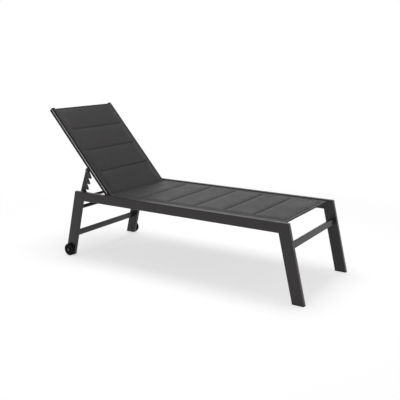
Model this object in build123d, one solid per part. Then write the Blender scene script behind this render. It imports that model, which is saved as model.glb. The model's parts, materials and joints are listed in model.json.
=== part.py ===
from build123d import *
import math
import os

# Reclining sun lounger in millimetres: +X to the foot end, +Y to the sitter's left, +Z up.
# The origin is on the floor, under the middle of the lounger with its back raised as stored.

# Overall sizes
flat_length = 2017.5       # toe of the front legs to the head end with the back laid flat
frame_width = 650.0        # over the outer faces of the side frames
seat_height = 431.0        # floor to the top of the side rails
rail_length = 1471.0       # along the top edge of a side rail
hinge_inset = 234.2        # rear end of a rail to the hinge of the back
hinge_drop = 8.0           # top of a rail down to the hinge of the back
recline = 48.65            # angle of the back above the floor, as stored

# Side frames
rail_height = 57.5
frame_depth = 25.0         # depth of rails and legs across the lounger
leg_width = 67.0           # square to the leg, seen from the side
leg_splay = 13.4           # lean of each leg away from upright, in degrees
frame_wall = 2.0
frame_corner = 3.0
foot_thickness = 5.0
foot_plug = 18.0           # how far a foot reaches up into its leg
rear_leg_lift = 6.0        # the rear feet hang this far above the floor, on the wheels

# Cross members of the frame
stretcher_height = 34.0
stretcher_depth = 20.0
stretcher_setback = 27.5   # outer edge of a leg to the middle of its stretcher
front_stretcher_z = 303.0
rear_stretcher_z = 141.0
brace_height = 20.0
brace_depth = 30.0
brace_lift = 3.0           # bottom of a rail up to the bottom of a seat brace
brace_setbacks = (210.0, 740.0)
tube_wall = 1.6
tube_corner = 2.5
catch_bar_radius = 9.0
catch_bar_inset = 67.5     # rear end of a rail to the catch bar
flat_gap = 1.0             # back tubes to the catch bar, with the back laid flat

# Padded fabric of the seat and of the back
fabric_thickness = 2.0
seat_crown = 4.0           # how far a padded panel stands out of the fabric, on each face
back_crown = 4.0
seat_border = 65.0         # flat fabric between the padding and the edges of the seat
back_border = 49.0         # flat fabric between the padding and the edges of the back
pad_taper = 18.0           # width over which the padding runs out to the border
pad_edge_crown = 0.15      # what is left of the crown where the padding runs out
seat_panels = 6
seat_hem = 23.5            # front edge of the seat fabric, beyond the last seam
seat_front_setback = 31.0  # front end of a rail to the front edge of the seat fabric
seat_rear_hem = 16.0
seat_rear_setback = 23.3   # hinge of the back to the rear edge of the seat fabric
seat_drop = 6.0            # top of a rail down to the middle of the seat fabric
back_panels = 4
back_lower_hem = 13.5
back_upper_hem = 5.5
back_top_setback = 9.5     # head end of the back tubes to the upper edge of the back fabric
back_fabric_tail = 14.0    # how far the back fabric runs past the hinge

# Channels in the rails and back tubes that hold the edges of the fabric
channel_size = 12.0
channel_bore = 3.5
rail_mouth = 2.6
back_mouth = 4.6
back_channel_inset = 11.0  # outer face of a back tube to the middle of its channel
beading_radius = 3.0
fabric_gap = 0.3

# Back frame
back_gap = 14.5            # inner face of a rail to the outer face of the back frame
back_tube_width = 25.0
back_tube_height = 28.0
back_shoulder = 5.0        # depth of the step along the front outer edge of a back tube
back_lip = 4.5             # rounding of that step
back_tube_tail = 7.0       # how far a side tube runs past the hinge, before its cap
cap_thickness = 3.0
cap_plug = 15.0
cross_tube_radius = 8.0
cross_tube_sink = 5.0      # middle of the side tubes down to the middle of a cross tube
lower_tube_reach = 46.0    # hinge of the back to the lower cross tube
upper_tube_setback = 42.0  # head end of the back to the upper cross tube

# Hinge of the back
pivot_radius = 5.0
pivot_head_radius = 9.0
pivot_head = 5.0
pivot_grip = 14.0          # how far the pivot bolt reaches into a rail
spacer_radius = 11.0
running_fit = 0.05
side_gap = 0.3             # free play beside a turning piece

# Prop with saw teeth under the back
prop_reach = 213.5         # hinge of the back to the pivot of the prop, along the back
prop_drop = 31.0           # middle of the back tubes down to the pivot of the prop
prop_length = 266.5        # pivot of the prop to its lower bar
prop_width = 30.0
prop_plate = 6.0
tooth_count = 5
tooth_pitch = 39.3
tooth_first = 42.6         # pivot of the prop to the underside of the first tooth, along the prop
tooth_reach = 40.0         # middle line of the prop to the tips
tooth_rise = 38.0          # length of a tooth at its root, along the prop
tooth_tip = 11.0           # height of a tooth at its tip
tooth_tip_radius = 5.0
bar_gap = 4.0              # tips of the teeth to the catch bar
prop_bar_radius = 11.5
lug_plate = 5.0
lug_inset = 4.4            # outer face of a back tube to its lug
lug_width = 28.0
rivet_radius = 4.0
rivet_head_radius = 8.0
rivet_head = 3.5

# Wheels
wheel_radius = 39.5
wheel_width = 16.0
tyre_depth = 8.0
tyre_round = 4.0
wheel_spokes = 5
spoke_width = 5.0
hub_dish = 4.0
hub_rim = 4.0
hub_boss_radius = 11.0
axle_radius = 4.0
axle_head_radius = 8.0
axle_head = 4.0
axle_nut = 6.0
nut_sides = 6
washer_thickness = 2.0
washer_radius = 10.0
seat_fit = 0.02            # between a tyre and its hub


# Places that follow from the sizes
splay_slope = math.tan(math.radians(leg_splay))
leg_span = leg_width / math.cos(math.radians(leg_splay))
toe = seat_height * splay_slope
hinge_setback = rail_length - hinge_inset
back_length = flat_length - toe - hinge_setback
half_tube = back_tube_height / 2
lean = math.radians(recline)
head_overhang = hinge_setback + back_length * math.cos(lean) + half_tube * math.sin(lean)
rail_front = (head_overhang - toe) / 2
rail_rear = rail_front - rail_length
rail_bottom = seat_height - rail_height
outer_side = frame_width / 2
inner_side = outer_side - frame_depth
side_middle = outer_side - frame_depth / 2
hinge_x = rail_front - hinge_setback
hinge_z = seat_height - hinge_drop
seat_z = seat_height - seat_drop
back_outer = inner_side - back_gap
back_inner = back_outer - back_tube_width
catch_x = rail_rear + catch_bar_inset
catch_z = hinge_z - half_tube - catch_bar_radius - flat_gap
wheel_z = wheel_radius
wheel_x = rail_rear - (seat_height - wheel_z) * splay_slope + leg_span / 2
wheel_inside = outer_side + washer_thickness + side_gap
wheel_outside = wheel_inside + wheel_width
hub_radius = wheel_radius - tyre_depth
hinge_axis = Axis((hinge_x, 0, hinge_z), (0, 1, 0))
pivot_flat_x = hinge_x - prop_reach
pivot_flat_z = hinge_z - prop_drop
pivot_x = hinge_x - prop_reach * math.cos(lean) - prop_drop * math.sin(lean)
pivot_z = hinge_z + prop_reach * math.sin(lean) - prop_drop * math.cos(lean)
lug_outside = back_outer - lug_inset
lug_inside = lug_outside - lug_plate
arm_outside = lug_inside - side_gap
arm_inside = arm_outside - prop_plate
bar_distance = math.hypot(catch_x - pivot_x, catch_z - pivot_z)
bar_bearing = math.degrees(math.atan2(pivot_x - catch_x, pivot_z - catch_z))
tooth_clear = tooth_reach + catch_bar_radius + bar_gap
prop_angle = bar_bearing + math.degrees(math.asin(tooth_clear / bar_distance))

nodes = {}


def slab(outline, low_y, high_y):
    """An outline drawn in X and Z, as thick as the space between two Y places."""
    return extrude(Plane.XZ.offset(-high_y) * outline, amount=high_y - low_y)


def at(x, z, outline):
    """An outline moved to X and Z in the side view."""
    return Pos(x, z) * outline


def rounded(width, height, corner):
    """A rectangle with rounded corners."""
    return RectangleRounded(width, height, corner)


def ring(width, height, corner, wall):
    """The section of a rectangular tube."""
    bore_corner = max(corner - wall, wall / 4)
    return rounded(width, height, corner) - rounded(width - 2 * wall, height - 2 * wall, bore_corner)


def with_channel(tube, outer, place, mouth, side):
    """A tube section with a round fabric channel built in, whose mouth opens to one side."""
    block = Pos(*place) * Rectangle(channel_size, channel_size)
    slot = Circle(channel_bore) + Pos(side * channel_size, 0) * Rectangle(2 * channel_size, mouth)
    return tube + (block & outer) - Pos(*place) * slot


def along_x(section, low_x, high_x, y, z):
    """A section drawn in Y and Z, run along X."""
    return extrude(Plane.YZ.offset(low_x) * Pos(y, z) * section, amount=high_x - low_x)


def both_sides(name, right_piece):
    """Stores a piece of the sitter's right side, and its mirror image on the left."""
    nodes[name + "_right"] = right_piece
    nodes[name + "_left"] = mirror(right_piece, about=Plane.XZ)


def raised(piece):
    """Turns a piece of the back from flat to the stored angle."""
    return piece.rotate(hinge_axis, recline)


def leg_edge(end, z):
    """X of the outer edge of a front leg (end 1) or a rear leg (end -1) at a height."""
    corner = rail_front if end > 0 else rail_rear
    return corner + end * (seat_height - z) * splay_slope


def leg_outline(end, low_z):
    """Side view of a leg, mitred to its rail."""
    inner_top = leg_edge(end, rail_bottom) - end * leg_span
    inner_low = leg_edge(end, low_z) - end * leg_span
    corners = [
        (leg_edge(end, seat_height), seat_height),
        (leg_edge(end, low_z), low_z),
        (inner_low, low_z),
        (inner_top, rail_bottom),
    ]
    return make_face(Polyline(*corners, close=True))


def leg_bar(end, section):
    """A section run along the whole slanted line of a leg, past both its ends."""
    middle = leg_edge(end, 0) - end * leg_span / 2
    slant = Vector(-end * math.sin(math.radians(leg_splay)), 0, math.cos(math.radians(leg_splay)))
    foot = Vector(middle, -side_middle, 0) - slant * leg_width
    line = Plane(origin=foot, x_dir=(0, 1, 0), z_dir=slant)
    return extrude(line * section, amount=seat_height + 3 * leg_width)


def leg_band(end, low_z, high_z):
    """Side view of the stretch of a leg between two heights, wider than the leg."""
    spare = leg_width
    corners = [
        (leg_edge(end, low_z) + end * spare, low_z),
        (leg_edge(end, high_z) + end * spare, high_z),
        (leg_edge(end, high_z) - end * (leg_span + spare), high_z),
        (leg_edge(end, low_z) - end * (leg_span + spare), low_z),
    ]
    return make_face(Polyline(*corners, close=True))


def add_legs_and_feet(name, end, lift):
    """A pair of legs and the plastic feet pushed into them."""
    low_z = lift + foot_thickness
    whole = -outer_side - frame_depth, -inner_side + frame_depth
    leg = leg_bar(end, ring(frame_depth, leg_width, frame_corner, frame_wall))
    leg &= slab(leg_outline(end, low_z), *whole)
    if end < 0:
        leg -= slab(at(wheel_x, wheel_z, Circle(axle_radius + running_fit)), *whole)
    both_sides(name + "_leg", leg)
    sole = leg_bar(end, rounded(frame_depth, leg_width, frame_corner))
    sole &= slab(leg_band(end, lift, low_z), *whole)
    slack = 2 * (frame_wall + side_gap)
    plug = leg_bar(end, rounded(frame_depth - slack, leg_width - slack, frame_corner / 2))
    plug &= slab(leg_band(end, low_z, low_z + foot_plug), *whole)
    both_sides(name + "_foot", sole + plug)


def add_rails():
    """The side rails, mitred to the legs, with a fabric channel and the hole for the hinge."""
    inner_front = leg_edge(1, rail_bottom) - leg_span
    inner_rear = leg_edge(-1, rail_bottom) + leg_span
    corners = [
        (rail_front, seat_height),
        (inner_front, rail_bottom),
        (inner_rear, rail_bottom),
        (rail_rear, seat_height),
    ]
    outline = make_face(Polyline(*corners, close=True))
    tube = ring(frame_depth, rail_height, frame_corner, frame_wall)
    outer = rounded(frame_depth, rail_height, frame_corner)
    channel = frame_depth / 2 - channel_size / 2, rail_height / 2 - seat_drop
    section = with_channel(tube, outer, channel, rail_mouth, 1)
    middle_z = seat_height - rail_height / 2
    rail = along_x(section, rail_rear - toe, rail_front + toe, -side_middle, middle_z)
    rail &= slab(outline, -outer_side - frame_depth, -inner_side + frame_depth)
    hole = at(hinge_x, hinge_z, Circle(pivot_radius + running_fit))
    both_sides("side_rail", rail - slab(hole, -inner_side - pivot_grip - side_gap, -inner_side))


def cross_tube(section, x, z, half_length):
    """A section drawn in X and Z, run across the lounger."""
    return slab(at(x, z, section), -half_length, half_length)


def add_cross_members():
    """Stretchers between the legs, braces under the seat and the bar that catches the prop."""
    section = ring(stretcher_depth, stretcher_height, tube_corner, tube_wall)
    for name, end, z in (("front", 1, front_stretcher_z), ("rear", -1, rear_stretcher_z)):
        x = leg_edge(end, z) - end * stretcher_setback
        leaning = Rot(0, 0, end * leg_splay) * section
        nodes[name + "_stretcher"] = cross_tube(leaning, x, z, inner_side)
    section = ring(brace_depth, brace_height, tube_corner, tube_wall)
    for name, setback in zip(("front", "rear"), brace_setbacks):
        z = rail_bottom + brace_lift + brace_height / 2
        nodes["seat_brace_" + name] = cross_tube(section, rail_front - setback, z, inner_side)
    section = Circle(catch_bar_radius) - Circle(catch_bar_radius - tube_wall)
    nodes["catch_bar"] = cross_tube(section, catch_x, catch_z, inner_side)


def panel_seams(first, last, count):
    """X places of the seams that part a padded fabric into equal panels, from front to rear."""
    return [first + (last - first) * k / count for k in range(count + 1)]


def pad_section(y, front, rear, seams, crown):
    """Section of the padded fabric at one Y: flat hems, and an arc over and under each panel."""
    half = fabric_thickness / 2
    edges = [Line((front, half), (seams[0], half))]
    for a, b in zip(seams, seams[1:]):
        edges.append(ThreePointArc((a, half), ((a + b) / 2, half + crown), (b, half)))
    edges.append(Line((seams[-1], half), (rear, half)))
    edges.append(Line((rear, half), (rear, -half)))
    edges.append(Line((rear, -half), (seams[-1], -half)))
    for a, b in zip(reversed(seams), list(reversed(seams))[1:]):
        edges.append(ThreePointArc((a, -half), ((a + b) / 2, -half - crown), (b, -half)))
    edges.append(Line((seams[0], -half), (front, -half)))
    edges.append(Line((front, -half), (front, half)))
    return Plane.XZ.offset(-y) * make_face(edges)


def padded_fabric(front, rear, seams, crown, half_width, border):
    """Fabric of one half width, padded between its borders, middle plane at Z 0."""
    core = half_width - border
    edge = core + pad_taper
    spread = ((-edge, pad_edge_crown), (-core, crown), (core, crown), (edge, pad_edge_crown))
    pad = loft([pad_section(y, front, rear, seams, height) for y, height in spread], ruled=True)
    strip = make_face(Polyline(
        (front, fabric_thickness / 2),
        (rear, fabric_thickness / 2),
        (rear, -fabric_thickness / 2),
        (front, -fabric_thickness / 2),
        close=True,
    ))
    right = slab(strip, -half_width, -edge)
    left = slab(strip, edge, half_width)
    return pad + right + left


def add_seat():
    """Seat fabric between the channels of the rails, and the beading in its edges."""
    front = rail_front - seat_front_setback
    rear = hinge_x + seat_rear_setback
    seams = panel_seams(front - seat_hem, rear + seat_rear_hem, seat_panels)
    channel = inner_side + channel_size / 2
    both_sides("seat_beading", along_x(Circle(beading_radius), rear, front, -channel, seat_z))
    width = channel - beading_radius - fabric_gap
    fabric = padded_fabric(front, rear, seams, seat_crown, width, seat_border)
    nodes["seat_fabric"] = Pos(0, 0, seat_z) * fabric


def back_outline(inset):
    """Section of the right back tube with its step, or of its bore when inset by the wall."""
    side = back_tube_width / 2 - inset
    front = half_tube - inset
    step_y = back_shoulder - back_tube_width / 2 + inset
    step_z = half_tube - channel_size / 2 - back_mouth / 2 - inset
    corners = [
        (-side, -front),
        (side, -front),
        (side, front),
        (step_y, front),
        (step_y, step_z),
        (-side, step_z),
    ]
    face = make_face(Polyline(*corners, close=True))
    face = fillet(face.vertices().sort_by_distance(corners[-1])[0], back_lip - inset)
    square = [face.vertices().sort_by_distance(corner)[0] for corner in corners[:4]]
    return fillet(square, tube_corner - inset)


def add_back_frame():
    """Side tubes of the back with their caps, and the round cross tubes behind the fabric."""
    low = hinge_x + back_tube_tail
    high = hinge_x - back_length + cap_thickness
    middle = -(back_outer + back_inner) / 2
    hollow = back_outline(0) - back_outline(tube_wall)
    channel = back_channel_inset - back_tube_width / 2, half_tube - channel_size / 2
    section = with_channel(hollow, back_outline(0), channel, back_mouth, -1)
    tube = along_x(section, high, low, middle, hinge_z)
    hole = at(hinge_x, hinge_z, Circle(pivot_radius + running_fit))
    both_sides("back_tube", raised(tube - slab(hole, -back_outer, -back_inner)))
    cap = rounded(back_tube_width, back_tube_height, back_lip)
    slack = tube_wall + side_gap
    plug_width = back_tube_width - slack - back_channel_inset - channel_size / 2 - side_gap
    plug = rounded(plug_width, back_tube_height - 2 * slack, tube_corner)
    plug_middle = -back_inner - slack - plug_width / 2
    top = along_x(cap, high - cap_thickness, high, middle, hinge_z)
    top += along_x(plug, high, high + cap_plug, plug_middle, hinge_z)
    both_sides("back_top_cap", raised(top))
    end = along_x(cap, low, low + cap_thickness, middle, hinge_z)
    both_sides("back_lower_cap", raised(end))
    section = Circle(cross_tube_radius) - Circle(cross_tube_radius - tube_wall)
    for name, reach in (("lower", lower_tube_reach), ("upper", back_length - upper_tube_setback)):
        tube = cross_tube(section, hinge_x - reach, hinge_z - cross_tube_sink, back_inner)
        nodes["back_cross_tube_" + name] = raised(tube)


def add_back_fabric():
    """Back fabric over the fronts of the back tubes, wrapped round into their channels on beading."""
    low = hinge_x + back_fabric_tail
    high = hinge_x - back_length + back_top_setback
    seams = panel_seams(low - back_lower_hem, high + back_upper_hem, back_panels)
    channel_y = back_outer - back_channel_inset
    channel_z = hinge_z + half_tube - channel_size / 2
    channel_low = hinge_x - pivot_head_radius - side_gap
    beading = along_x(Circle(beading_radius), high, channel_low, -channel_y, channel_z)
    both_sides("back_beading", raised(beading))
    under_z = hinge_z + half_tube + fabric_gap
    wrap_inside = back_outer - back_shoulder + fabric_gap
    wrap_outside = wrap_inside + fabric_thickness
    fabric = padded_fabric(low, high, seams, back_crown, wrap_outside, back_border)
    fabric = Pos(0, 0, under_z + fabric_thickness / 2) * fabric
    wrap_low = channel_z - fabric_thickness / 2
    wrap = Rectangle(fabric_thickness, under_z - wrap_low)
    tongue_inside = channel_y + beading_radius + fabric_gap
    tongue = Rectangle(wrap_inside - tongue_inside, fabric_thickness)
    for side in (-1, 1):
        wrap_y = side * (wrap_inside + fabric_thickness / 2)
        fabric += along_x(wrap, high, channel_low, wrap_y, (under_z + wrap_low) / 2)
        tongue_y = side * (wrap_inside + tongue_inside) / 2
        fabric += along_x(tongue, high, channel_low, tongue_y, channel_z)
    nodes["back_fabric"] = raised(fabric)


def add_hinge():
    """Pivot bolts that carry the back on the rails, and the spacers round them."""
    bolt = slab(Circle(pivot_radius), -inner_side - pivot_grip, -back_inner + side_gap)
    head_low = -back_inner + side_gap
    bolt += slab(Circle(pivot_head_radius), head_low, head_low + pivot_head)
    both_sides("back_pivot", Pos(hinge_x, 0, hinge_z) * bolt)
    bush = Circle(spacer_radius) - Circle(pivot_radius + running_fit)
    both_sides("back_spacer", slab(at(hinge_x, hinge_z, bush), -inner_side, -back_outer - side_gap))


def prop_outline():
    """Side view of a prop arm hanging straight down from its pivot at the origin."""
    outline = Pos(0, -prop_length / 2) * Rectangle(prop_width, prop_length)
    outline += Circle(prop_width / 2)
    outline += Pos(0, -prop_length) * Circle(prop_width / 2)
    for k in range(tooth_count):
        tip = -tooth_first - tooth_pitch * k
        corners = [
            (0, tip + tooth_rise),
            (prop_width / 2, tip + tooth_rise),
            (tooth_reach, tip + tooth_tip),
            (tooth_reach, tip),
            (0, tip),
        ]
        outline += make_face(Polyline(*corners, close=True))
    tips = outline.vertices().sort_by(Axis.X)[-2 * tooth_count:]
    outline = fillet(tips, tooth_tip_radius)
    return outline - Circle(rivet_radius + running_fit)


def add_prop():
    """Toothed arms with their lower bar, and the lugs and rivets they hang from."""
    arm = slab(Rot(0, 0, -prop_angle) * prop_outline(), -arm_outside, -arm_inside)
    both_sides("prop_arm", Pos(pivot_x, 0, pivot_z) * arm)
    swing = math.radians(prop_angle)
    bar_x = pivot_x - prop_length * math.sin(swing)
    bar_z = pivot_z - prop_length * math.cos(swing)
    section = Circle(prop_bar_radius) - Circle(prop_bar_radius - tube_wall)
    nodes["prop_bar"] = cross_tube(section, bar_x, bar_z, arm_inside)
    tongue = prop_drop - half_tube
    lug = Pos(0, tongue / 2) * Rectangle(lug_width, tongue) + Circle(lug_width / 2)
    lug -= Pos(0, lug_width) * Rectangle(2 * lug_width, 2 * (lug_width - tongue))
    lug -= Circle(rivet_radius + running_fit)
    plate = slab(at(pivot_flat_x, pivot_flat_z, lug), -lug_outside, -lug_inside)
    both_sides("prop_lug", raised(plate))
    rivet = slab(Circle(rivet_radius), -lug_outside, -arm_inside + side_gap)
    rivet += slab(Circle(rivet_head_radius), -lug_outside - rivet_head, -lug_outside)
    inner_head = -arm_inside + side_gap
    rivet += slab(Circle(rivet_head_radius), inner_head, inner_head + rivet_head)
    both_sides("prop_rivet", Pos(pivot_x, 0, pivot_z) * rivet)


def wheel_hub():
    """Hub of the right wheel at the origin of the side view: a dished disc with spokes."""
    bore = Circle(axle_radius + running_fit)
    hub = slab(Circle(hub_radius) - bore, -wheel_outside, -wheel_inside)
    dish = Circle(hub_radius - hub_rim) - Circle(hub_boss_radius)
    for k in range(wheel_spokes):
        spoke = Pos(hub_radius / 2, 0) * Rectangle(hub_radius, spoke_width)
        dish -= Rot(0, 0, 360 * k / wheel_spokes) * spoke
    return hub - slab(dish, -wheel_outside, -wheel_outside + hub_dish)


def add_wheels():
    """Wheels outside the rear legs, each with a tyre, a hub, a washer and an axle bolt."""
    place = Pos(wheel_x, 0, wheel_z)
    both_sides("wheel_hub", place * wheel_hub())
    tread = slab(Circle(wheel_radius) - Circle(hub_radius + seat_fit), -wheel_outside, -wheel_inside)
    shoulders = tread.edges().filter_by(GeomType.CIRCLE).sort_by(SortBy.RADIUS)[-2:]
    both_sides("wheel_tyre", place * fillet(shoulders, tyre_round))
    washer = Circle(washer_radius) - Circle(axle_radius + running_fit)
    both_sides("wheel_washer", place * slab(washer, -outer_side - washer_thickness, -outer_side))
    head = -wheel_outside - side_gap
    axle = slab(Circle(axle_radius), head, -inner_side)
    axle += slab(Circle(axle_head_radius), head - axle_head, head)
    axle += slab(RegularPolygon(axle_head_radius, nut_sides), -inner_side, -inner_side + axle_nut)
    both_sides("wheel_axle", place * axle)


add_rails()
add_legs_and_feet("front", 1, 0)
add_legs_and_feet("rear", -1, rear_leg_lift)
add_cross_members()
add_seat()
add_back_frame()
add_back_fabric()
add_hinge()
add_prop()
add_wheels()

os.makedirs("parts", exist_ok=True)
for name, piece in nodes.items():
    export_step(piece, os.path.join("parts", name + ".step"))
    print(name, round(piece.volume))
print("hinge of the back", round(hinge_x, 3), round(hinge_z, 3))
print("pivot of the prop", round(pivot_x, 3), round(pivot_z, 3), "angle", round(prop_angle, 3))
print("axle of the wheels", round(wheel_x, 3), round(wheel_z, 3))
print("front feet", round(leg_edge(1, 0), 3), "rail front", round(rail_front, 3))
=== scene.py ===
# %% [markdown]
# # A reclining sun lounger
# The lounger is a powder-coated aluminium frame with a padded woven seat and a padded back that tilts
# on a hinge. The hard pieces come from the packed model and only need a finish. The two padded fabrics
# are made here, because cloth that is swelled by simulation looks softer than any drawn solid.

# %% Load the packed model
import json
import math

import bpy
import numpy as np
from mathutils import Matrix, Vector, noise
from mathutils.bvhtree import BVHTree
from mathutils.geometry import convex_hull_2d

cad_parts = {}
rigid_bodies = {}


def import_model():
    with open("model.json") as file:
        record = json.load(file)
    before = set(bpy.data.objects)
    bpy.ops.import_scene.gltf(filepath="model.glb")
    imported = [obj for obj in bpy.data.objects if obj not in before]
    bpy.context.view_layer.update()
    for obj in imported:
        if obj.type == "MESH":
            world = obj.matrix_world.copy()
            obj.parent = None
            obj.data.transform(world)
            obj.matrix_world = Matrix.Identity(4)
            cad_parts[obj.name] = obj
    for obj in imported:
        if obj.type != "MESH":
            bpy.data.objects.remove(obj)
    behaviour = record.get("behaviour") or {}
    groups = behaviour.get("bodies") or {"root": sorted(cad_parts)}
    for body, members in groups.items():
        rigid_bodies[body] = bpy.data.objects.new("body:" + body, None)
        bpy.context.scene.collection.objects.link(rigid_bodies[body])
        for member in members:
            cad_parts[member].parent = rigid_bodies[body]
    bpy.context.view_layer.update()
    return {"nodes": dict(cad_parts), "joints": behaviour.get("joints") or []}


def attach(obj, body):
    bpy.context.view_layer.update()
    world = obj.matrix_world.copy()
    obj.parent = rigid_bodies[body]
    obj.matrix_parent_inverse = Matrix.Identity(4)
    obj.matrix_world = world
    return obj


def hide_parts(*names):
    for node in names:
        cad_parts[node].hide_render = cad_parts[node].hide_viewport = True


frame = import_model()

scene = bpy.context.scene
for stray in [o for o in scene.objects if o.name in ("Cube", "Light", "Camera")]:
    bpy.data.objects.remove(stray)
mm = 0.001
nodes = frame["nodes"]
joints = {joint["name"]: joint for joint in frame["joints"]}

# %% [markdown]
# ## The camera
# The photograph was taken from the foot end, a little above the seat. A camera could be placed by eye,
# but then no edge would lie quite right. So a pinhole camera was fitted to the lounger's straight
# edges, which gives its place, its two angles in radians and its focal length in pixels. A pixel focal
# length becomes a lens by the ratio of the sensor's width to the picture's.

# %% Camera
picture_width = 400
focal_pixels = 628.69
camera_place = (2.075625, -3.17809, 1.27592)
camera_pan = 0.56609
camera_dip = 0.22832
sensor_width = 36

lens = bpy.data.cameras.new("camera")
lens.sensor_width = sensor_width
lens.lens = focal_pixels / picture_width * sensor_width
camera = bpy.data.objects.new("camera", lens)
camera.location = camera_place
camera.rotation_euler = (math.pi / 2 - camera_dip, 0, camera_pan)
scene.collection.objects.link(camera)
scene.camera = camera
print("lens", round(lens.lens, 2), "mm")

# %% [markdown]
# ## Shader maths as Python
# A finish is a web of small nodes. Wiring each of them by hand hides the idea, so this class wraps one
# output socket and lets Python's own operators add the Math nodes. One method makes every other node:
# its settings come first, then the values or links of its sockets.

# %% A wire between shader nodes
class Wire:
    """One output socket of a node tree, with arithmetic."""

    def __init__(self, tree, socket):
        self.tree = tree
        self.socket = socket

    def node(self, kind, settings=None, values=None, output=0):
        made = self.tree.nodes.new(kind)
        for name, value in (settings or {}).items():
            setattr(made, name, value)
        for name, value in (values or {}).items():
            if isinstance(value, Wire):
                self.tree.links.new(value.socket, made.inputs[name])
            else:
                made.inputs[name].default_value = value
        return Wire(self.tree, made.outputs[output])

    def maths(self, operation, *terms):
        return self.node("ShaderNodeMath", {"operation": operation}, dict(enumerate(terms)))

    def __add__(self, other):
        return self.maths("ADD", self, other)

    def __sub__(self, other):
        return self.maths("SUBTRACT", self, other)

    def __rsub__(self, other):
        return self.maths("SUBTRACT", other, self)

    def __mul__(self, other):
        return self.maths("MULTIPLY", self, other)

    def __truediv__(self, other):
        return self.maths("DIVIDE", self, other)

    def __rtruediv__(self, other):
        return self.maths("DIVIDE", other, self)

    __radd__ = __add__
    __rmul__ = __mul__

    def sine(self):
        return self.maths("SINE", self)

    def floor(self):
        return self.maths("FLOOR", self)

    def fraction(self):
        return self.maths("FRACT", self)

    def between(self, low, high):
        """0 below one value, 1 above the other, and smooth between them."""
        settings = {"interpolation_type": "SMOOTHSTEP"}
        return self.node("ShaderNodeMapRange", settings, {0: self, 1: low, 2: high, 3: 0.0, 4: 1.0})

    def blend(self, first, second):
        """A colour that runs from the first to the second as this value goes from 0 to 1."""
        return self.node("ShaderNodeMix", {"data_type": "RGBA"}, {0: self, 6: first, 7: second}, 2)

    def axis(self, letter):
        return self.node("ShaderNodeSeparateXYZ", None, {0: self}, "XYZ".index(letter))

    def grain(self, size, detail=2.0):
        """Noise whose lumps are about this large, in metres, from this place."""
        values = {"Vector": self, "Scale": 1 / size, "Detail": detail}
        return self.node("ShaderNodeTexNoise", None, values)

    def bump(self, distance, strength=0.5):
        values = {"Height": self, "Distance": distance, "Strength": strength}
        return self.node("ShaderNodeBump", None, values)

    def into(self, node, name):
        self.tree.links.new(self.socket, node.inputs[name])


print("a wire offers", ", ".join(name for name in vars(Wire) if not name.startswith("_")))

# %% [markdown]
# Colours are picked as on a paint chart, from 0 to 255, but shaders reckon in linear light. So one
# helper turns the first into the second, and another starts a material with what all finishes share: a
# surface, its fixed levels, and the place of each point on the piece.

# %% Colours and new finishes
def chart(red, green, blue):
    """A paint chart's colour in linear light."""
    def linear(c):
        return c / 12.92 if c <= 0.04045 else ((c + 0.055) / 1.055) ** 2.4
    return (linear(red / 255), linear(green / 255), linear(blue / 255), 1.0)


def start_finish(name, levels=None):
    """A new material, its surface shader and the place of each point."""
    finish = bpy.data.materials.new(name)
    finish.use_nodes = True
    tree = finish.node_tree
    surface = tree.nodes["Principled BSDF"]
    for socket, level in (levels or {}).items():
        surface.inputs[socket].default_value = level
    place = Wire(tree, tree.nodes.new("ShaderNodeTexCoord").outputs["Object"])
    return finish, surface, place


print("mid grey is", round(chart(128, 128, 128)[0], 3), "in linear light")

# %% [markdown]
# ## The studio
# The lounger stands on a white sweep, so the background has to be white while the light on the object
# stays plain. A curved backdrop could be modelled and lit, but its brightness would spill on the
# object. Here the world is white only for rays that come straight from the camera or from a shiny
# surface, and a soft grey for the rays that light the object. A studio's sweep stands behind the
# object and ends below the ceiling, so what a shiny surface sees elsewhere is grey as well.

# %% World
ambient_level = 0.2
ceiling_heights = 0.25, 0.65
sweep_heading = -math.sin(camera_pan), math.cos(camera_pan)
sweep_turn = -0.4, 0.3
white_light = (1, 1, 1, 1)


def seen_directly(tree, mirrored=1.0):
    """1 for camera and transmission rays, a share for glossy ones, and 0 for rays that carry light."""
    path = tree.nodes.new("ShaderNodeLightPath")
    seen = Wire(tree, path.outputs["Is Camera Ray"])
    seen = seen.maths("MAXIMUM", seen, Wire(tree, path.outputs["Is Transmission Ray"]))
    return seen.maths("MAXIMUM", seen, Wire(tree, path.outputs["Is Glossy Ray"]) * mirrored)


world = bpy.data.worlds.new("studio")
world.use_nodes = True
scene.world = world
sky = world.node_tree
direction = Wire(sky, sky.nodes.new("ShaderNodeTexCoord").outputs["Generated"])
ceiling = direction.axis("Z").between(*ceiling_heights)
towards_sweep = direction.axis("X") * sweep_heading[0] + direction.axis("Y") * sweep_heading[1]
backdrop = seen_directly(sky, towards_sweep.between(*sweep_turn) * (1 - ceiling))
grey = backdrop.node("ShaderNodeBackground", None, {"Color": white_light, "Strength": ambient_level})
white = backdrop.node("ShaderNodeBackground", None, {"Color": white_light, "Strength": 1.0})
mixed = backdrop.node("ShaderNodeMixShader", None, {0: backdrop, 1: grey, 2: white})
mixed.into(sky.nodes["World Output"], "Surface")
print("ambient light", ambient_level)

# %% [markdown]
# The floor is one large square. It glows a little for the camera: that lifts it to white, and the
# shadow on it stays visible. Beyond the shadow it turns into plain white, so that no edge shows.

# %% Floor
floor_reach = 14.0
floor_paint = (0.68, 0.68, 0.69, 1)
floor_glow = 0.63
shadow_reach = 1.3, 2.6


def mesh_object(name, points, edges=(), faces=()):
    """A new object in the scene, made of these points, edges and faces."""
    mesh = bpy.data.meshes.new(name)
    mesh.from_pydata(points, edges, faces)
    mesh.update()
    made = bpy.data.objects.new(name, mesh)
    scene.collection.objects.link(made)
    return made


square = [(-1, -1), (1, -1), (1, 1), (-1, 1)]
corners = [(x * floor_reach, y * floor_reach, 0) for x, y in square]
floor = mesh_object("floor", corners, faces=[tuple(range(len(square)))])

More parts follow.
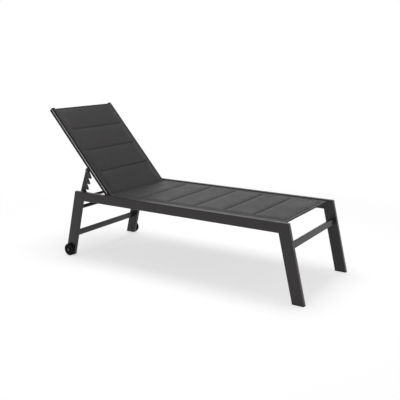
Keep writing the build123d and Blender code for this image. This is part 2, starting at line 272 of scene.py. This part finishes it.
floor_finish, _, floor_place = start_finish("white_floor")
floor_tree = floor_finish.node_tree
seen = seen_directly(floor_tree)
away = floor_place.node("ShaderNodeVectorMath", {"operation": "LENGTH"}, {0: floor_place}, 1)
lit = away.node("ShaderNodeBsdfDiffuse", None, {"Color": floor_paint})
glow = away.node("ShaderNodeEmission", None, {"Color": white_light, "Strength": seen * floor_glow})
near = lit.node("ShaderNodeAddShader", None, {0: lit, 1: glow})
plain = away.node("ShaderNodeEmission", None, {"Color": white_light, "Strength": 1.0})
far = away.between(*shadow_reach) * seen
sweep = near.node("ShaderNodeMixShader", None, {0: far, 1: near, 2: plain})
sweep.into(floor_tree.nodes["Material Output"], "Surface")
floor.data.materials.append(floor_finish)
print("floor", 2 * floor_reach, "m wide")

# %% [markdown]
# ## The lamps
# One large softbox hangs high over the back. The legs splay outwards, so it draws their shadows inwards
# under the seat, and the seat is lit more than the leaning back. Two weak lamps, at the foot end and
# beside the camera, keep the upright faces from going black. A picture of a studio could light the
# scene too, but separate lamps let each shadow be steered by itself.

# %% Lamps
lamps = {
    "overhead": {"place": (-0.55, 0.25, 3.5), "aim": (-0.1, 0.0, 0.2), "size": 2.1, "power": 55},
    "foot_end": {"place": (3.4, 0.4, 1.9), "aim": (0.2, 0.0, 0.3), "size": 1.6, "power": 8},
    "camera_side": {"place": (0.6, -3.6, 2.2), "aim": (0.0, 0.0, 0.4), "size": 2.0, "power": 12},
}
for name, lamp in lamps.items():
    light = bpy.data.lights.new(name, "AREA")
    light.size = lamp["size"]
    light.energy = lamp["power"]
    holder = bpy.data.objects.new(name, light)
    holder.location = lamp["place"]
    aim = Vector(lamp["aim"]) - Vector(lamp["place"])
    holder.rotation_euler = aim.to_track_quat("-Z", "Y").to_euler()
    scene.collection.objects.link(holder)
scene.view_settings.view_transform = "Standard"
print(len(lamps), "lamps")

# %% [markdown]
# ## Powder coat on the aluminium
# The tubes are sprayed with dry powder and baked: anthracite on the frame, and black on the back's
# side tubes and the bars under it. Seen close, the skin has a faint orange peel and tiny flecks, and
# its gloss changes slowly from place to place. One even colour would look like plastic, so four sizes
# of noise are used, from large to small: for the tone, the gloss, the bumps and the flecks.
#
# The rounded lips along the back's side tubes show a thin bright line: a highlight painted into the
# coat's
# colour. They are found by their place: each point is laid down with the back, and its height over the
# hinge then tells a lip.

# %% Powder coat
recline = math.radians(-joints["back_recline"]["range_deg"][0])
hinge = Vector(joints["back_recline"]["pos_m"])
# The band on the back's lips where a highlight is painted, and its pale tone.
lip_side = 280.8 * mm, 281.2 * mm
lip_height = 2.1 * mm, 2.8 * mm
lip_highlight_tone = chart(226, 222, 222)
noise_band = 0.3, 0.7
tone_patch = 310 * mm
gloss_patch = 45 * mm
fleck_size = 0.7 * mm
fleck_band = 0.56, 0.72
fleck_share = 0.35
peel_size = 1.6 * mm
peel_depth = 0.12 * mm
coat_roughness = {"base": 0.24, "gloss": 0.14, "patch": 0.05}
anthracite = chart(53, 48, 49), chart(58, 53, 54), chart(82, 77, 78)
black = chart(12, 12, 13), chart(17, 16, 17), chart(30, 29, 30)


def back_lip_highlight(place):
    """1 along the rounded lips of the back's side tubes, where a highlight is painted, and 0 elsewhere.
    """
    from_hinge = place.node("ShaderNodeMapping", None, {"Vector": place, "Location": -hinge})
    turn = {"Vector": from_hinge, "Rotation": (0.0, -recline, 0.0)}
    laid = place.node("ShaderNodeMapping", None, turn)
    outside = place.maths("ABSOLUTE", place.axis("Y")).between(*lip_side)
    return laid.axis("Z").between(*lip_height) * outside


def powder_coat(name, tones, shine, painted_lip_highlight=False):
    """A baked coat with a dark, a pale and a fleck tone, and a highlight painted on the back's lips if
    asked.
    """
    dark, pale, speck = tones
    finish, surface, place = start_finish(name, {"Specular IOR Level": shine})
    patch = place.grain(tone_patch, detail=3.0).between(*noise_band)
    fleck = place.grain(fleck_size, detail=1.0).between(*fleck_band)
    tone = (fleck * fleck_share).blend(patch.blend(dark, pale), speck)
    # On the back's lips a highlight is painted into the colour, in place of light caught by the rounding.
    if painted_lip_highlight:
        tone = back_lip_highlight(place).blend(tone, lip_highlight_tone)
    tone.into(surface, "Base Color")
    gloss = coat_roughness["gloss"] * place.grain(gloss_patch)
    (coat_roughness["base"] + gloss + coat_roughness["patch"] * patch).into(surface, "Roughness")
    place.grain(peel_size).bump(peel_depth).into(surface, "Normal")
    return finish


coat = powder_coat("anthracite_coat", anthracite, shine=0.4)
black_coat = powder_coat("black_coat", black, shine=0.2, painted_lip_highlight=True)
print("made", coat.name, "and", black_coat.name)

# %% [markdown]
# ## Plastic, rubber and steel
# The feet, caps, washers and wheel hubs are moulded in black plastic with a fine spark-eroded grain.
# The tyres are softer and duller, with faint patches of dust. The bolts and rivets are blackened steel
# with paler worn patches. Painted maps could show all this, but noise on each point's place needs no
# map and has the same scale on every piece.

# %% Plastic
plastic_cloud = 12 * mm
plastic_grain = 0.5 * mm
plastic_relief = 0.06 * mm
plastic_shine = 0.2
plastic_roughness = {"grain": 0.14, "cloud": 0.06}


def moulded_plastic(name, dark, pale, base):
    """Dull plastic that goes from dark to pale in clouds, with this base roughness."""
    finish, surface, place = start_finish(name, {"Specular IOR Level": plastic_shine})
    cloud = place.grain(plastic_cloud).between(*noise_band)
    cloud.blend(dark, pale).into(surface, "Base Color")
    grain = place.grain(plastic_grain)
    rough = base + plastic_roughness["grain"] * grain + plastic_roughness["cloud"] * cloud
    rough.into(surface, "Roughness")
    grain.bump(plastic_relief).into(surface, "Normal")
    return finish


plastic = moulded_plastic("moulded_plastic", chart(13, 13, 14), chart(21, 21, 22), base=0.45)
beading = moulded_plastic("drawn_beading", chart(44, 43, 43), chart(56, 54, 54), base=0.4)
thread = moulded_plastic("sewing_thread", chart(24, 23, 23), chart(34, 33, 33), base=0.55)
print("made", plastic.name, beading.name, "and", thread.name)

# %% Rubber
dust_patch = 9 * mm
dust_band = 0.5, 0.8
dust_share = 0.3
dust_tone = chart(46, 44, 42)
rubber_tone = chart(11, 11, 12)
rubber_grain = 0.8 * mm
rubber_relief = 0.1 * mm
rubber_shine = 0.15
rubber_roughness = {"base": 0.66, "grain": 0.18, "dust": 0.1}

rubber, surface, place = start_finish("rolled_rubber", {"Specular IOR Level": rubber_shine})
dust = place.grain(dust_patch, detail=4.0).between(*dust_band)
(dust * dust_share).blend(rubber_tone, dust_tone).into(surface, "Base Color")
grain = place.grain(rubber_grain)
rough = rubber_roughness["base"] + rubber_roughness["grain"] * grain + rubber_roughness["dust"] * dust
rough.into(surface, "Roughness")
grain.bump(rubber_relief).into(surface, "Normal")
print("made", rubber.name)

# %% Steel
worn_patch = 4 * mm
worn_band = 0.35, 0.7
steel_tones = chart(72, 72, 74), chart(104, 102, 100)
steel_grain = 0.6 * mm
steel_roughness = {"base": 0.3, "grain": 0.2}
least_metal = 0.75

steel, surface, place = start_finish("blackened_steel")
worn = place.grain(worn_patch, detail=3.0).between(*worn_band)
worn.blend(*steel_tones).into(surface, "Base Color")
rough = steel_roughness["base"] + steel_roughness["grain"] * place.grain(steel_grain)
rough.into(surface, "Roughness")
(least_metal + (1 - least_metal) * worn).into(surface, "Metallic")
print("made", steel.name)

# %% [markdown]
# ## The woven fabric
# The sling is a mesh of coated yarns, woven two over two like a basket. A picture of cloth could be
# laid on it, but a formula stays sharp at any size. The pattern is worked out from each point's place:
# two waves cross, and which one lies on top changes from cell to cell like a chess board. The back is
# turned with the recline, so a Mapping node turns its pattern by the same angle. A value stored along
# the seams paints shade into the groove, where thread pulls the two faces together, and it also paints
# shade under the first hem and on the back's bent edges.

# %% Woven fabric
yarn_pitch = 1.5 * mm
yarn_low = 0.55
yarn_wander = 0.5
wander_patch = 50 * mm
yarn_streak = 3.2 * mm
streak_band = 0.4, 0.7
streak_share = 0.4
streak_tone = chart(67, 63, 63)
cloth_patch = 120 * mm
cloth_tones = chart(54, 50, 51), chart(60, 56, 56)
gap_tone = chart(30, 29, 29)
gap_least = 0.1
# The near-black shade painted in the grooves, under the first hem and on the back's bent edges, and how
# much of it.
groove_shade_tone = chart(8, 8, 8)
groove_shade_share = 0.95
weave_depth = 0.35 * mm
weave_relief = 0.6
cloth_roughness = {"base": 0.5, "height": 0.12, "patch": 0.08, "groove": 0.22}
cloth_shine = {"Specular IOR Level": 0.45, "Sheen Weight": 0.08, "Sheen Roughness": 0.4}


def weave_height(laid):
    """How high the yarn stands at each point, from 0 in a gap to 1 on top."""
    wander = yarn_wander * laid.grain(wander_patch)
    along = laid.axis("X") / yarn_pitch + wander
    across = laid.axis("Y") / yarn_pitch + wander
    over = (((along / 2).floor() + (across / 2).floor()) / 2).fraction() * 2
    round_along = (along.fraction() * math.pi).sine()
    round_across = (across.fraction() * math.pi).sine()
    warp = round_across * (yarn_low + (1 - yarn_low) * round_along)
    weft = round_along * (yarn_low + (1 - yarn_low) * round_across)
    return over * warp + (1 - over) * weft


def woven_fabric(name, turn):
    """Cloth on a sling that is turned by this angle about the cross axis."""
    finish, surface, place = start_finish(name, cloth_shine)
    laid = place.node("ShaderNodeMapping", None, {"Vector": place, "Rotation": (0.0, turn, 0.0)})
    height = weave_height(laid)
    patch = laid.grain(cloth_patch, detail=3.0).between(*noise_band)
    streak = laid.grain(yarn_streak).between(*streak_band)
    tone = (streak * streak_share).blend(patch.blend(*cloth_tones), streak_tone)
    weave = (height * (1 - gap_least) + gap_least).blend(gap_tone, tone)
    # The stored value is painted shade: in the sewn grooves, under the first hem and on the back's bent
    # edges.
    groove = place.node("ShaderNodeAttribute", {"attribute_name": "groove"}, None, 2)
    (groove * groove_shade_share).blend(weave, groove_shade_tone).into(surface, "Base Color")
    rough = cloth_roughness["base"] - cloth_roughness["height"] * height
    rough += cloth_roughness["patch"] * patch + cloth_roughness["groove"] * groove
    rough.into(surface, "Roughness")
    height.bump(weave_depth, weave_relief).into(surface, "Normal")
    return finish


seat_weave = woven_fabric("seat_weave", 0.0)
back_weave = woven_fabric("back_weave", -recline)
print("back leans", round(math.degrees(recline), 1), "degrees")

# %% [markdown]
# ## Finishes on the packed pieces
# Every packed piece carries the name of its material slot, so one table gives each its finish. The
# pieces could be told apart by name instead, but a slot holds whatever is cut from the same stock.

# %% Finish every hard piece
finishes = {
    "coated_aluminium": coat,
    "black_aluminium": black_coat,
    "black_plastic": plastic,
    "beading_plastic": beading,
    "tyre_rubber": rubber,
    "dark_steel": steel,
    "padded_fabric": seat_weave,
}
for node in nodes.values():
    for index, slot in enumerate(node.data.materials):
        node.data.materials[index] = finishes[slot.name]
print("finished", len(nodes), "nodes with", len(finishes), "finishes")

# %% [markdown]
# ## The padded slings
# Each sling is two layers of fabric with thin foam between them, sewn across at even steps. Its
# length, width and place come from the packed solid, measured on the sling's own axes: along it,
# across it and out of its face. The seat's edges slide flat into the rails, and its front hem is
# rolled under. The back's edges wrap round the fronts of its side tubes and turn inwards into a
# channel, so each has two bends, given by a radius and the straight stretch after it.

# %% Sizes of the slings
fabric_half = 1.0 * mm
pad_crown = 4 * mm
pad_taper = 18 * mm
slings = {
    "seat": {
        "node": "seat_fabric",
        "body": "frame",
        "finish": seat_weave,
        "along": Vector((-1, 0, 0)),
        "hems": (23.5 * mm, 16 * mm),
        "panels": 6,
        "border": 65 * mm,
        "groove": 7 * mm,
        "roll": 3.0 * mm,
        "bends": (),
    },
    "back": {
        "node": "back_fabric",
        "body": "back",
        "finish": back_weave,
        "along": Vector((-math.cos(recline), 0, math.sin(recline))),
        "hems": (13.5 * mm, 5.5 * mm),
        "panels": 4,
        "border": 49 * mm,
        "groove": 5 * mm,
        "roll": 0.0,
        "bends": ((2.4 * mm, 3.3 * mm), (1.6 * mm, 2.0 * mm)),
    },
}


def node_points(name):
    """The places of a packed piece's points."""
    return np.array([v.co for v in nodes[name].data.vertices])


def place_sling(sling):
    """Measures the packed solid along the sling's own axes, and lays out its seams."""
    across = Vector((0, -1, 0))
    sling["axes"] = np.array([sling["along"], across, sling["along"].cross(across)])
    points = node_points(sling["node"]) @ sling["axes"].T
    low, high = points.min(0), points.max(0)
    sling["ends"] = low[0], high[0]
    sling["half_width"] = high[1]
    sling["middle"] = high[2] - pad_crown - fabric_half
    first, last = low[0] + sling["hems"][0], high[0] - sling["hems"][1]
    sling["seams"] = np.linspace(first, last, sling["panels"] + 1)
    sling["core"] = sling["half_width"] - sling["border"]


for name, sling in slings.items():
    place_sling(sling)
    print(name, "is", round(np.ptp(sling["ends"]), 3), "m long, with", len(sling["seams"]), "seams")

# %% [markdown]
# The cloth starts as a closed grid, an upper and a lower layer joined round the rim. An even grid
# would be too coarse in the grooves or too heavy between them. So the steps grow away from each seam,
# and a groove gets as many points as the panel beside it.

# %% Steps of the grid
row_steps = {"fine": 1.6 * mm, "growth": 1.45, "wide": 11 * mm}
column_steps = {"fine": 3.0 * mm, "growth": 1.5, "wide": 14 * mm}


def growing_steps(start, end, fine, growth, wide):
    """Places from start to end, close together at both ends and wider between."""
    half = (end - start) / 2
    reach = [0.0]
    step = fine
    while reach[-1] + step < half:
        reach.append(reach[-1] + step)
        step = min(step * growth, wide)
    inward = [start + r for r in reach]
    outward = [end - r for r in reversed(reach)]
    return inward + outward


def join_stretches(stops, steps):
    """Growing steps from each stop to the next, with no place twice."""
    places = []
    for start, end in zip(stops, stops[1:]):
        places += growing_steps(start, end, **steps)[:-1]
    return np.array(places + [stops[-1]])


longest = max(np.diff(sling["seams"]).max() for sling in slings.values())
print("a panel gets", len(growing_steps(0, longest, **row_steps)), "rows")

# %% [markdown]
# Three rules lift the layers off the middle of the fabric before they swell: the padding rises on both
# sides of a seam, it runs out towards the border, and a folded hem is thicker than the single fabric.
# Near the rails a hem thins out again, to slide into them.

# %% Padding and hems
shoulder_reach = 7 * mm
start_share = 0.8
hem_fold = 12 * mm
hem_flat = 0.7
hem_rise = 0.9 * mm
hem_end = 6 * mm


def smooth_step(low, high, value):
    """0 below one value, 1 above the other, and smooth between them."""
    share = np.clip((value - low) / (high - low), 0, 1)
    return share * share * (3 - 2 * share)


def seam_distance(sling, along, across):
    """How far a point is from the nearest sewn line."""
    past_end = np.maximum(np.abs(across) - sling["core"], 0)
    gaps = [np.hypot(along - seam, past_end) for seam in sling["seams"]]
    return np.min(gaps, axis=0)


def hem_lift(sling, along, across, face):
    """How far the folds at both ends, and the roll under the front one, lift a point."""
    fold = min(hem_fold, *sling["hems"])
    front = 1 - smooth_step(hem_flat * fold, fold, along - sling["ends"][0])
    rear = 1 - smooth_step(hem_flat * fold, fold, sling["ends"][1] - along)
    clear = smooth_step(0, hem_end, sling["half_width"] - hem_end - np.abs(across))
    roll = sling["roll"] if face < 0 else 0.0
    return (hem_rise * np.maximum(front, rear) + roll * front) * clear


def pad_rise(sling, along, across, face):
    """How far a point of one face stands off the middle of the fabric."""
    shoulder = 1 - np.exp(-seam_distance(sling, along, across) / shoulder_reach)
    run_out = np.clip((sling["core"] + pad_taper - np.abs(across)) / pad_taper, 0, 1)
    padded = (along > sling["seams"][0]) & (along < sling["seams"][-1])
    padding = pad_crown * start_share * shoulder * np.sqrt(run_out) * padded
    return fabric_half + padding + hem_lift(sling, along, across, face)


for name, sling in slings.items():
    panel_middle = sling["seams"][:2].mean()
    print(name, "panels start", round(pad_rise(sling, panel_middle, 0.0, 1) / mm, 2), "mm off the middle")

# %% [markdown]
# The wrapped edge of the back could be modelled by hand, point by point. It is walked instead, in tiny
# steps that turn little by little: each bend is an arc of cloth and a straight stretch. The wrap dies
# away towards the hinge, where the channel ends.

# %% Wrapped edges
wrap_walk = 0.05 * mm
wrap_stride = 14
wrap_start = 9 * mm, 24 * mm
wrap_least = 0.05
quarter_turn = math.pi / 2


def wrap_turns(sling):
    """How far the wrapped edge has turned at each tiny step, in radians."""
    turns = [np.zeros(1)]
    for radius, straight in sling["bends"]:
        start = turns[-1][-1]
        end = start + quarter_turn
        turns.append(np.linspace(start, end, round(radius * quarter_turn / wrap_walk)))
        turns.append(np.full(round(straight / wrap_walk), end))
    return np.concatenate(turns)


def bend_edge(sling, along, across):
    """Place and outward direction of the middle of the cloth, across the sling."""
    share = np.maximum(smooth_step(*wrap_start, along[:, :1] - sling["ends"][0]), wrap_least)
    turned = share * wrap_turns(sling)
    walk = share * wrap_walk
    sideways = np.cumsum(np.cos(turned) * walk, axis=1)
    downwards = np.cumsum(np.sin(turned) * walk, axis=1)
    beyond = np.maximum(np.abs(across) - sling["rim"], 0)
    index = np.rint(beyond / wrap_walk).astype(int)
    wrapped = beyond > 0
    side = np.sign(across)
    out = np.minimum(np.abs(across), sling["rim"]) + np.take_along_axis(sideways, index, 1) * wrapped
    drop = np.take_along_axis(downwards, index, 1) * wrapped
    angle = np.take_along_axis(turned, index, 1) * wrapped
    return side * out, -drop, side * np.sin(angle), np.cos(angle)


print("the back wraps", round(len(wrap_turns(slings["back"])) * wrap_walk / mm, 1), "mm of cloth a side")

# %% [markdown]
# The two layers now become one closed mesh. Every point also keeps its flat place, along and across
# the sling, because later steps ask how far it is from a seam.

# %% Closed grid
def sling_grid(sling):
    """Fills in the flat places, the points and the faces of a sling's closed mesh."""
    rows = join_stretches([sling["ends"][0], *sling["seams"], sling["ends"][1]], row_steps)
    first_bend = sling["bends"][0][0] + fabric_half if sling["bends"] else 0.0
    sling["rim"] = sling["half_width"] - first_bend
    right = [sling["core"], sling["core"] + pad_taper, sling["rim"]]
    columns = join_stretches([-r for r in reversed(right)] + right, column_steps)
    steps = np.arange(wrap_stride, len(wrap_turns(sling)), wrap_stride)
    beyond = sling["rim"] + steps * wrap_walk
    columns = np.concatenate([-beyond[::-1], columns, beyond])
    along, across = np.meshgrid(rows, columns, indexing="ij")
    place, drop, out_across, out_up = bend_edge(sling, along, across)
    layers = []
    for face in (1, -1):
        rise = face * pad_rise(sling, along, across, face)
        layer = [along, place + rise * out_across, sling["middle"] + drop + rise * out_up]
        layers.append(np.stack(layer, -1).reshape(-1, 3))
    sling["points"] = np.concatenate(layers)
    sling["flat"] = np.tile(np.stack([along, across], -1).reshape(-1, 2), (2, 1))
    sling["face"] = np.repeat([1.0, -1.0], along.size)
    sling["faces"] = closed_faces(len(rows), len(columns))


def closed_faces(high, wide):
    """Faces of two grids of points, one over the other, joined round their rim."""
    layer = high * wide
    faces = []
    for row in range(high - 1):
        for column in range(wide - 1):
            here = row * wide + column
            below = here + wide
            faces.append((here, below, below + 1, here + 1))
            faces.append((layer + here, layer + here + 1, layer + below + 1, layer + below))
    rim = list(range(wide))
    rim += [row * wide + wide - 1 for row in range(1, high)]
    rim += [layer - 1 - column for column in range(1, wide)]
    rim += [row * wide for row in range(high - 2, 0, -1)]
    for here, after in zip(rim, rim[1:] + rim[:1]):
        faces.append((here, after, layer + after, layer + here))
    return faces


for name, sling in slings.items():
    sling_grid(sling)
    print(name, "grid has", len(sling["points"]), "points and", len(sling["faces"]), "faces")

# %% [markdown]
# ## Swelling the padding
# Foam pushes both layers of fabric apart, and the sewn lines hold them. A formula for the bulge would
# look the same in every panel. A cloth simulation with pressure and no gravity does what foam does:
# the seams, hems and borders are pinned, and the panels round off. How far a point may move is capped,
# so that the padding stays in the space of its solid.

# %% Cloth simulation
swell_frames = 20
swell_cap = 1.6 * mm
seam_hold = 0.8 * mm
cloth_settings = {
    "quality": 6,
    "mass": 0.3,
    "tension_stiffness": 25,
    "compression_stiffness": 25,
    "shear_stiffness": 12,
    "bending_stiffness": 0.4,
    "vertex_group_mass": "sewn",
    "use_pressure": True,
    "uniform_pressure_force": 4.0,
}


def sewn_points(sling):
    """True for each point that thread or the side channel holds."""
    along, across = sling["flat"].T
    in_seam = seam_distance(sling, along, across) < seam_hold
    in_border = np.abs(across) > sling["core"] + pad_taper - seam_hold
    in_hem = (along < sling["seams"][0] + seam_hold) | (along > sling["seams"][-1] - seam_hold)
    return in_seam | in_border | in_hem


def evaluated_mesh(made):
    """A plain mesh of an object, as its modifiers leave it."""
    graph = bpy.context.evaluated_depsgraph_get()
    return bpy.data.meshes.new_from_object(made.evaluated_get(graph))


def swell(name, sling):
    """The points of a sling after the padding has swelled."""
    pad = mesh_object(name + "_swelling", sling["points"].tolist(), faces=sling["faces"])
    group = pad.vertex_groups.new(name="sewn")
    group.add(np.flatnonzero(sewn_points(sling)).tolist(), 1.0, "REPLACE")
    cloth = pad.modifiers.new("swell", "CLOTH")
    cloth.point_cache.frame_start = 1
    cloth.point_cache.frame_end = swell_frames
    cloth.collision_settings.use_collision = False
    for setting, value in cloth_settings.items():
        setattr(cloth.settings, setting, value)
    cloth.settings.effector_weights.gravity = 0.0
    for step in range(1, swell_frames + 1):
        scene.frame_set(step)
    points = np.array([v.co for v in evaluated_mesh(pad).vertices])
    scene.frame_set(1)
    bpy.data.objects.remove(pad)
    moves = points - sling["points"]
    lengths = np.linalg.norm(moves, axis=1)
    print(name, "swelled by", round(lengths.max() / mm, 2), "mm at most")
    held = swell_cap / np.maximum(lengths, swell_cap)
    return sling["points"] + moves * held[:, None]


for name, sling in slings.items():
    sling["points"] = swell(name, sling)
    print(name, "holds", sewn_points(sling).sum(), "sewn points")

# %% [markdown]
# ## Puckers
# Thread draws the fabric up in small puckers that die away within a finger's breadth of the seam. A
# bump in the finish could fake them, but it would not change the outline. So the points themselves are
# moved, by noise that is longer along the sling than across it and is strongest beside the thread.

# %% Puckers beside the seams
pucker_height = 0.45 * mm
pucker_size = 33 * mm, 11 * mm
pucker_start = 3 * mm
pucker_reach = 12 * mm
pucker_least = 0.01 * mm
face_shift = 5


def pucker(sling):
    """Moves the points beside the seams, and gives the greatest move."""
    away = seam_distance(sling, *sling["flat"].T)
    rise_and_fall = np.exp(-away / pucker_reach) * (1 - np.exp(-away / pucker_start))
    strength = pucker_height * rise_and_fall * ~sewn_points(sling)
    greatest = 0.0
    for index in np.flatnonzero(strength > pucker_least):
        along, across = sling["flat"][index] / pucker_size
        face = sling["face"][index]
        move = strength[index] * noise.noise(Vector((along, across, face * face_shift)))
        sling["points"][index, 2] += face * move
        greatest = max(greatest, abs(move))
    return greatest


for name, sling in slings.items():
    print(name, "puckers by", round(pucker(sling) / mm, 2), "mm at most")

# %% [markdown]
# ## Shade and the finished pads
# The shade painted into the fabric's colour is stored on the points: full at the bottom of a groove,
# weaker at a sling's first seam, and full again under its first hem and where the back's edges bend
# into shadow. One step of subdivision then rounds the grid, and the pad takes the place of its solid.

# %% Finished pads
end_seam_shade = 0.45
end_seam_widths = 3
# How deep the painted shade reaches under the first hem, and over its front face.
hem_shade_depth = 6 * mm
front_edge_shade = 0.5 * mm
edge_shade = 5 * mm


def groove_shade(sling):
    """How much shade is painted: 1 in a sewn groove, under the first hem and on a bent edge, and 0 on the
    open fabric.
    """
    along, across = sling["flat"].T
    shade = np.exp(-((seam_distance(sling, along, across) / sling["groove"]) ** 2))
    at_end_seam = np.abs(along - sling["seams"][0]) < end_seam_widths * sling["groove"]
    shade[at_end_seam] *= end_seam_shade
    from_front = along - sling["ends"][0]
    # The underside of the first hem and its front face get full painted shade.
    shade_under_hem = (from_front < hem_shade_depth) & (sling["face"] < 0)
    shade[shade_under_hem | (from_front < front_edge_shade)] = 1.0
    if sling["bends"]:
        shade = np.maximum(shade, smooth_step(-edge_shade, 0, np.abs(across) - sling["rim"]))
    return shade


def finish_pad(name, sling):
    """The rounded pad of a sling, riding on its body in place of its solid."""
    places = sling["points"] @ sling["axes"]
    pad = mesh_object(name + "_sling", places.tolist(), faces=sling["faces"])
    # The stored value is the painted shade that the fabric's finish reads.
    groove = pad.data.attributes.new("groove", "FLOAT", "POINT")
    groove.data.foreach_set("value", groove_shade(sling).astype(np.float32))
    rounding = pad.modifiers.new("round", "SUBSURF")
    rounding.levels = 1
    rounding.render_levels = 1
    rounded = evaluated_mesh(pad)
    pad.modifiers.clear()
    pad.data = rounded
    rounded.materials.clear()
    rounded.materials.append(sling["finish"])
    rounded.polygons.foreach_set("use_smooth", np.ones(len(rounded.polygons), bool))
    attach(pad, sling["body"])
    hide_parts(sling["node"])
    return pad


for name, sling in slings.items():
    sling["pad"] = finish_pad(name, sling)
    print(name, "pad has", len(sling["pad"].data.polygons), "faces")

# %% [markdown]
# ## Geometry Nodes that follow a path
# Stitches and weld ripples are the same idea: one small lump, repeated along a line. They could be
# copied by a loop, but a tree of nodes spaces them evenly by itself. It takes a mesh of edges, makes
# curves of it, resamples them at an even pitch and sets a stretched ball on every point, turned along
# the line. The result becomes a plain mesh.

# %% A tree of lumps along a line
lump_sizes = ("Pitch", "Length", "Width", "Height")
ball_shape = {"Segments": 6, "Rings": 4, "Radius": 0.5}


def lump_tree():
    tree = bpy.data.node_groups.new("lumps_on_a_line", "GeometryNodeTree")
    tree.interface.new_socket("Lines", in_out="INPUT", socket_type="NodeSocketGeometry")
    for size in lump_sizes:
        tree.interface.new_socket(size, in_out="INPUT", socket_type="NodeSocketFloat")
    tree.interface.new_socket("Finish", in_out="INPUT", socket_type="NodeSocketMaterial")
    tree.interface.new_socket("Lumps", in_out="OUTPUT", socket_type="NodeSocketGeometry")
    start = Wire(tree, tree.nodes.new("NodeGroupInput").outputs["Lines"])
    given = {name: Wire(tree, start.socket.node.outputs[name]) for name in (*lump_sizes, "Finish")}
    line = start.node("GeometryNodeMeshToCurve", None, {0: start})
    spacing = {"Curve": line, "Length": given["Pitch"]}
    even = line.node("GeometryNodeResampleCurve", {"mode": "LENGTH"}, spacing)
    ball = start.node("GeometryNodeMeshUVSphere", None, ball_shape)
    stretch = {"X": given["Width"], "Y": given["Height"], "Z": given["Length"]}
    shape = start.node("ShaderNodeCombineXYZ", None, stretch)
    lump = ball.node("GeometryNodeTransform", None, {"Geometry": ball, "Scale": shape})
    heading = start.node("GeometryNodeInputTangent")
    turned = heading.node("FunctionNodeAlignRotationToVector", {"axis": "Z"}, {"Vector": heading})
    setting = {"Points": even, "Instance": lump, "Rotation": turned}
    placed = even.node("GeometryNodeInstanceOnPoints", None, setting)
    real = placed.node("GeometryNodeRealizeInstances", None, {0: placed})
    done = real.node("GeometryNodeSetMaterial", None, {"Geometry": real, "Material": given["Finish"]})
    done.into(tree.nodes.new("NodeGroupOutput"), "Lumps")
    return tree


lump_nodes = lump_tree()
print("the tree has", len(lump_nodes.nodes), "nodes")

# %% [markdown]
# A modifier knows its inputs by identifier and not by name, so a table turns one into the other. All
# sizes are set before the modifier runs for the first time.

# %% Lumps on lines
lump_inputs = {item.name: item.identifier for item in lump_nodes.interface.items_tree}


def lumps_on_lines(name, lines, sizes, finish):
    """A plain mesh object with lumps along each line, a list of points."""
    points, edges = [], []
    for line in lines:
        first = len(points)
        points += [tuple(p) for p in line]
        edges += [(first + k, first + k + 1) for k in range(len(line) - 1)]
    made = mesh_object(name, points, edges)
    modifier = made.modifiers.new("lumps", "NODES")
    modifier.node_group = lump_nodes
    for size, value in zip(lump_sizes, sizes):
        modifier[lump_inputs[size]] = value
    modifier[lump_inputs["Finish"]] = finish
    real = evaluated_mesh(made)
    made.modifiers.clear()
    made.data = real
    real.polygons.foreach_set("use_smooth", np.ones(len(real.polygons), bool))
    print(name, "has", len(real.polygons), "faces on", len(lines), "lines")
    return made


print("the tree takes", ", ".join(lump_inputs))

# %% [markdown]
# ## Stitches
# A lockstitch row runs across each seam and along both borders of the padding, on the face and on the
# underside. The rows could be laid at the height of the drawn grid, but the cloth has moved since. A
# ray cast from outside finds it under each point of a row, so that the thread lies on it.

# %% Stitches
stitch_pitch = 4.6 * mm
stitch_size = 3.6 * mm, 0.8 * mm, 0.6 * mm
row_step = 9 * mm
ray_start = 30 * mm


def row_ends(sling):
    """Start and end of each row of stitches, along and across the flat sling."""
    edge = sling["core"] + pad_taper
    first, last = sling["seams"][0], sling["seams"][-1]
    rows = [((seam, -sling["core"]), (seam, sling["core"])) for seam in sling["seams"]]
    return rows + [((first, side), (last, side)) for side in (-edge, edge)]


def row_on_pad(sling, cloth, start, end, face):
    """The points of one row, on one face of the pad."""
    steps = round(math.dist(start, end) / row_step)
    inward = Vector(np.array([0, 0, -face]) @ sling["axes"])
    line = []
    for flat in np.linspace(start, end, steps + 1):
        above = np.array([*flat, sling["middle"] + face * ray_start]) @ sling["axes"]
        line.append(cloth.ray_cast(Vector(above), inward)[0])
    return line


for name, sling in slings.items():
    mesh = sling["pad"].data
    cloth = BVHTree.FromPolygons([v.co for v in mesh.vertices], [p.vertices for p in mesh.polygons])
    rows = [row_on_pad(sling, cloth, *ends, face) for ends in row_ends(sling) for face in (1, -1)]
    sewn = lumps_on_lines(name + "_stitches", rows, (stitch_pitch, *stitch_size), thread)
    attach(sewn, sling["body"])

# %% [markdown]
# ## Weld beads
# Cross members are welded to the rails, legs and back tubes before the frame is coated. Around each
# end runs a bead of small ripples. A smooth ring would look moulded, so the ripples are lumps set
# close along the outline of the end face. That outline is the hull of the piece's own points there, so
# the bead follows the section whatever its shape.

# %% Weld beads
weld_pitch = 1.7 * mm
weld_size = 3.0 * mm, 4.2 * mm, 4.2 * mm
end_slack = 0.01 * mm
welded = {
    "frame": ("front_stretcher", "rear_stretcher", "seat_brace_front", "seat_brace_rear", "catch_bar"),
    "back": ("back_cross_tube_lower", "back_cross_tube_upper"),
}


def end_outline(member, side):
    """The closed outline of a cross member where it meets its neighbour on one side."""
    points = node_points(member)
    edge = points[:, 1].max() if side > 0 else points[:, 1].min()
    face = points[np.abs(points[:, 1] - edge) < end_slack]
    hull = convex_hull_2d([(p[0], p[2]) for p in face])
    ring = [face[k] for k in hull]
    return ring + ring[:1]


for body, members in welded.items():
    outlines = [end_outline(member, side) for member in members for side in (-1, 1)]
    beads = lumps_on_lines(body + "_weld_beads", outlines, (weld_pitch, *weld_size), coat)
    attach(beads, body)

# %% [markdown]
